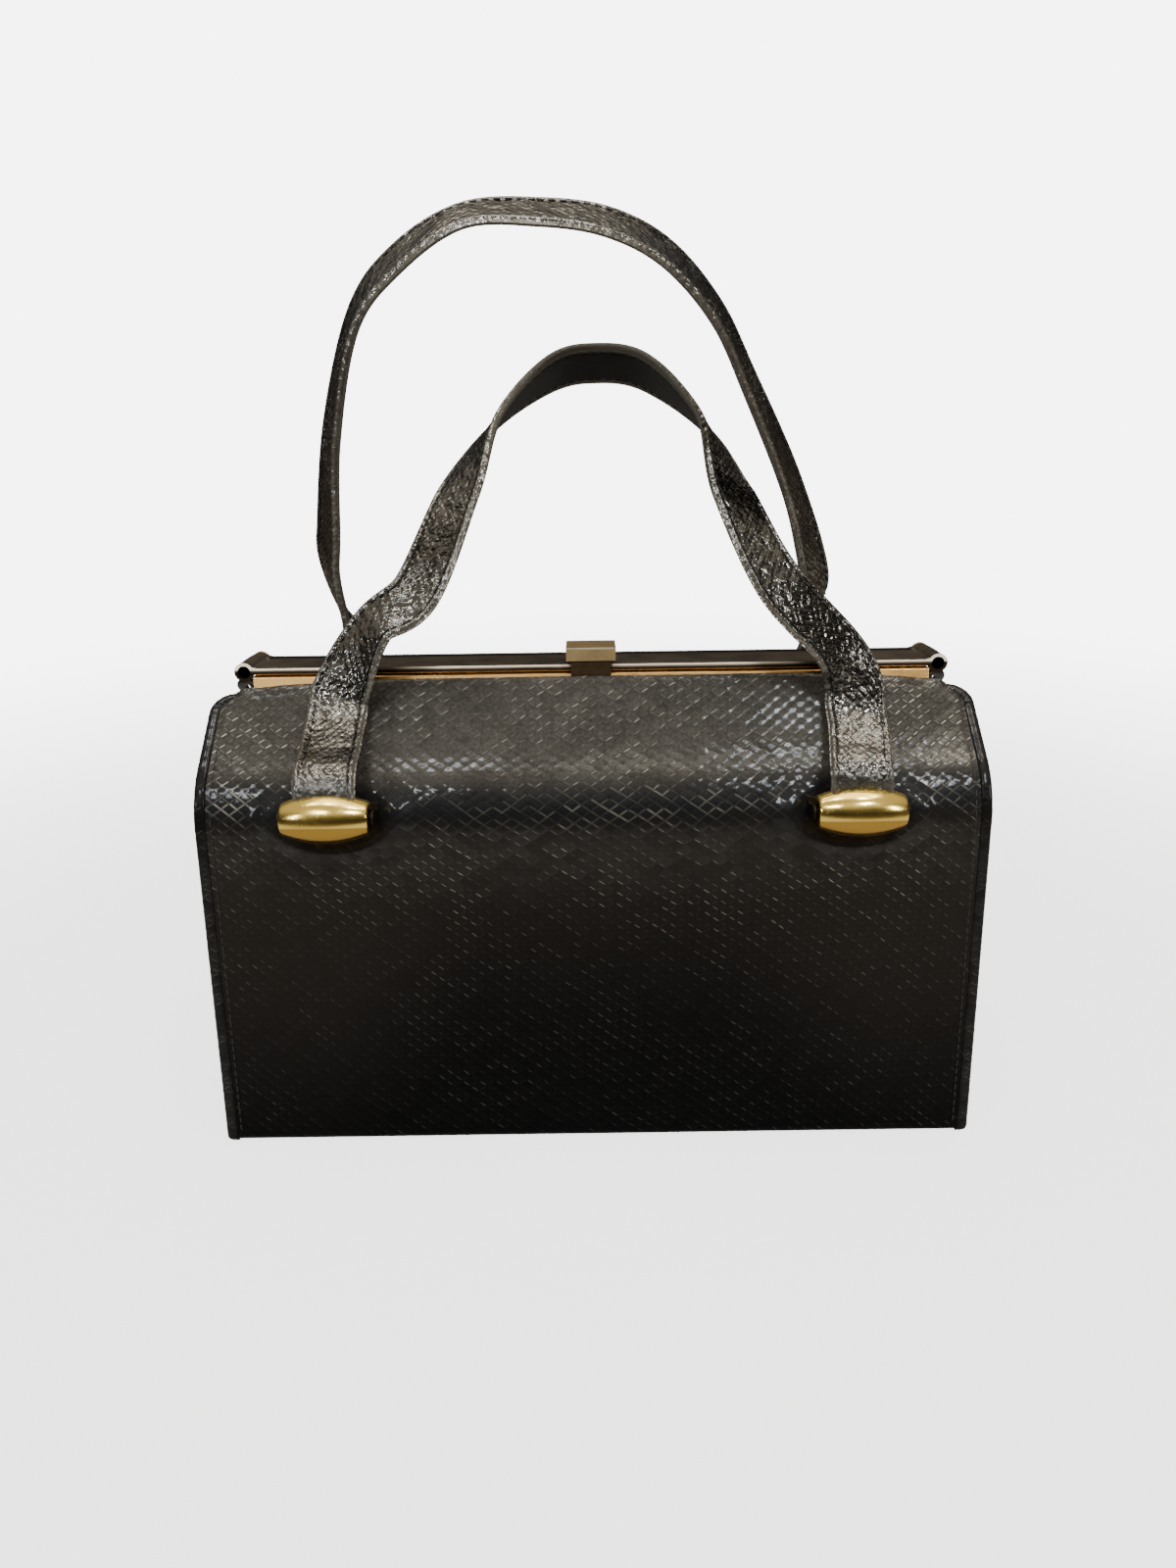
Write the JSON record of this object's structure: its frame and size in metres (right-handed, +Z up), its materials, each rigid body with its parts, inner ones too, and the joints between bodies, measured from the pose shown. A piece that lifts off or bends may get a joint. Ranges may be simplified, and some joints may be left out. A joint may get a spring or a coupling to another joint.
{
  "type": "frame purse",
  "caption": "Hand-held frame purse with scale-embossed leather walls, a hinged metal mouth with a lift clasp, and strap handles that swing on barrel fittings.",
  "frame": {"origin": "the middle of the base, on the surface that the purse stands on", "axes": "+Z up, +X along the frame to the right of someone facing the front, -Y out of the front wall"},
  "size_m": [0.2538, 0.1202, 0.2964],
  "materials": {
    "embossed_leather": "glossy scale-embossed leather",
    "smooth_leather": "satin",
    "stiffening_board": "matt pressed board",
    "lining_cloth": "matt cloth",
    "frame_gilt": "gilt, lightly tarnished",
    "plate_bronze": "dark worn gilt",
    "clasp_brass": "dull worn gilt",
    "barrel_gold": "polished gilt",
    "spring_steel": "plain"
  },
  "bodies": {
    "base": {"base_leather": "embossed_leather", "base_board": "stiffening_board", "base_lining": "lining_cloth", "left_gusset": "embossed_leather", "right_gusset": "embossed_leather"},
    "front_wall": {"front_leather": "embossed_leather", "front_welt": "embossed_leather", "front_board": "stiffening_board", "front_lining": "lining_cloth", "front_mounts": "barrel_gold", "front_rivets": "barrel_gold", "front_backing_plates": "spring_steel", "front_barrel_pins": "barrel_gold"},
    "back_wall": {"back_leather": "embossed_leather", "back_welt": "embossed_leather", "back_board": "stiffening_board", "back_lining": "lining_cloth", "back_mounts": "barrel_gold", "back_rivets": "barrel_gold", "back_backing_plates": "spring_steel", "back_barrel_pins": "barrel_gold"},
    "front_jaw": {"front_channel": "frame_gilt", "front_arms": "frame_gilt", "clasp_hook": "plate_bronze"},
    "back_jaw": {"back_channel": "frame_gilt", "back_arms": "frame_gilt", "hinge_pins": "frame_gilt", "under_plate": "frame_gilt", "top_plate": "plate_bronze", "clasp_housing": "plate_bronze", "clasp_pin": "clasp_brass", "clasp_spring": "spring_steel"},
    "clasp_cap": {"clasp_lever": "clasp_brass"},
    "front_handle": {"front_barrels": "barrel_gold", "front_strap": "embossed_leather", "front_strap_lining": "smooth_leather"},
    "back_handle": {"back_barrels": "barrel_gold", "back_strap": "embossed_leather", "back_strap_lining": "smooth_leather"}
  },
  "joints": [
    {"name": "front_wall_lean", "type": "hinge", "parent": "base", "child": "front_wall", "pos_m": [0, -0.042, 0.003], "axis": [1, 0, 0], "range_deg": [0, 8.6]},
    {"name": "front_jaw_tilt", "type": "hinge", "parent": "front_wall", "child": "front_jaw", "pos_m": [0, -0.0085, 0.1518], "axis": [1, 0, 0], "range_deg": [0, 22.6]},
    {"name": "frame_open", "type": "hinge", "parent": "front_jaw", "child": "back_jaw", "pos_m": [0, 0, 0.106], "axis": [-1, 0, 0], "range_deg": [0, 62]},
    {"name": "back_wall_lean", "type": "hinge", "parent": "base", "child": "back_wall", "pos_m": [0, 0.042, 0.003], "axis": [-1, 0, 0], "range_deg": [0, 8.6]},
    {"name": "clasp_lift", "type": "hinge", "parent": "back_jaw", "child": "clasp_cap", "pos_m": [0, -0.0048, 0.1614], "axis": [-1, 0, 0], "range_deg": [0, 35], "stiffness_Nm_per_rad": 0.02, "springref_deg": -17.19},
    {"name": "front_handle_swing", "type": "hinge", "parent": "front_wall", "child": "front_handle", "pos_m": [0, -0.05263, 0.12207], "axis": [1, 0, 0], "range_deg": [0, 155]},
    {"name": "back_handle_swing", "type": "hinge", "parent": "back_wall", "child": "back_handle", "pos_m": [0, 0.05263, 0.12207], "axis": [-1, 0, 0], "range_deg": [0, 132]}
  ],
  "couplings": [
    {"joint": "front_wall_lean", "follows": "frame_open", "ratio": 0.1377},
    {"joint": "front_jaw_tilt", "follows": "frame_open", "ratio": 0.3623},
    {"joint": "back_wall_lean", "follows": "frame_open", "ratio": 0.1377}
  ]
}
